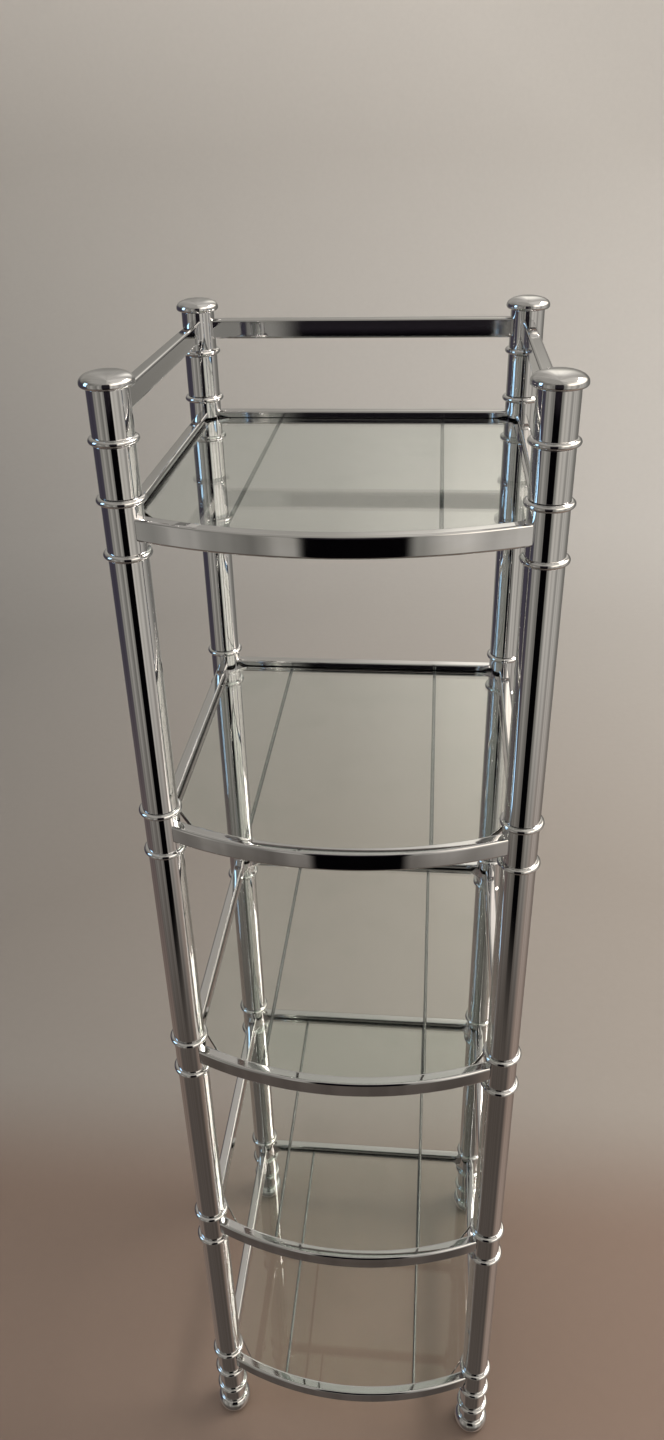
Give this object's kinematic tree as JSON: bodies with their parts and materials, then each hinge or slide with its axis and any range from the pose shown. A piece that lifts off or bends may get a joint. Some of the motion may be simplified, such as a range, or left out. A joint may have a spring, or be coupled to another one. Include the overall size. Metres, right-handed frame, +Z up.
{
  "type": "glass shelving unit",
  "caption": "Slim freestanding shelving unit with chromed tube posts, bow-fronted rail frames, loose clear glass panes and a low gallery rail round the top.",
  "frame": {"origin": "on the floor, under the middle of the unit's bounding box", "axes": "+Z up along the posts, -Y towards the bowed front, +X to the right as seen from the front"},
  "size_m": [0.3166, 0.3352, 1.197],
  "materials": {
    "chrome_plate": "mirror polished",
    "clear_glass": "clear with ground edges",
    "zinc_plated_steel": "zinc plated"
  },
  "bodies": {
    "frame": {"finial_cap_back_left": "chrome_plate", "finial_cap_back_right": "chrome_plate", "finial_cap_front_left": "chrome_plate", "finial_cap_front_right": "chrome_plate", "foot_back_left": "chrome_plate", "foot_back_right": "chrome_plate", "foot_front_left": "chrome_plate", "foot_front_right": "chrome_plate", "gallery_frame": "chrome_plate", "neck_tube_back_left": "chrome_plate", "neck_tube_back_right": "chrome_plate", "neck_tube_front_left": "chrome_plate", "neck_tube_front_right": "chrome_plate", "post_tube_1_back_left": "chrome_plate", "post_tube_1_back_right": "chrome_plate", "post_tube_1_front_left": "chrome_plate", "post_tube_1_front_right": "chrome_plate", "post_tube_2_back_left": "chrome_plate", "post_tube_2_back_right": "chrome_plate", "post_tube_2_front_left": "chrome_plate", "post_tube_2_front_right": "chrome_plate", "post_tube_3_back_left": "chrome_plate", "post_tube_3_back_right": "chrome_plate", "post_tube_3_front_left": "chrome_plate", "post_tube_3_front_right": "chrome_plate", "post_tube_4_back_left": "chrome_plate", "post_tube_4_back_right": "chrome_plate", "post_tube_4_front_left": "chrome_plate", "post_tube_4_front_right": "chrome_plate", "shelf_frame_1": "chrome_plate", "shelf_frame_2": "chrome_plate", "shelf_frame_3": "chrome_plate", "shelf_frame_4": "chrome_plate", "shelf_frame_5": "chrome_plate", "stud_1_back_left": "zinc_plated_steel", "stud_1_back_right": "zinc_plated_steel", "stud_1_front_left": "zinc_plated_steel", "stud_1_front_right": "zinc_plated_steel", "stud_2_back_left": "zinc_plated_steel", "stud_2_back_right": "zinc_plated_steel", "stud_2_front_left": "zinc_plated_steel", "stud_2_front_right": "zinc_plated_steel", "stud_3_back_left": "zinc_plated_steel", "stud_3_back_right": "zinc_plated_steel", "stud_3_front_left": "zinc_plated_steel", "stud_3_front_right": "zinc_plated_steel", "stud_4_back_left": "zinc_plated_steel", "stud_4_back_right": "zinc_plated_steel", "stud_4_front_left": "zinc_plated_steel", "stud_4_front_right": "zinc_plated_steel", "stud_5_back_left": "zinc_plated_steel", "stud_5_back_right": "zinc_plated_steel", "stud_5_front_left": "zinc_plated_steel", "stud_5_front_right": "zinc_plated_steel"},
    "pane_1": {"glass_shelf_1": "clear_glass"},
    "pane_2": {"glass_shelf_2": "clear_glass"},
    "pane_3": {"glass_shelf_3": "clear_glass"},
    "pane_4": {"glass_shelf_4": "clear_glass"},
    "pane_5": {"glass_shelf_5": "clear_glass"}
  },
  "joints": [
    {"name": "lift_pane_1", "type": "slide", "parent": "frame", "child": "pane_1", "axis": [0, 0, 1], "range_m": [0, 0.05]},
    {"name": "lift_pane_2", "type": "slide", "parent": "frame", "child": "pane_2", "axis": [0, 0, 1], "range_m": [0, 0.05]},
    {"name": "lift_pane_3", "type": "slide", "parent": "frame", "child": "pane_3", "axis": [0, 0, 1], "range_m": [0, 0.05]},
    {"name": "lift_pane_4", "type": "slide", "parent": "frame", "child": "pane_4", "axis": [0, 0, 1], "range_m": [0, 0.05]},
    {"name": "lift_pane_5", "type": "slide", "parent": "frame", "child": "pane_5", "axis": [0, 0, 1], "range_m": [0, 0.05]}
  ]
}
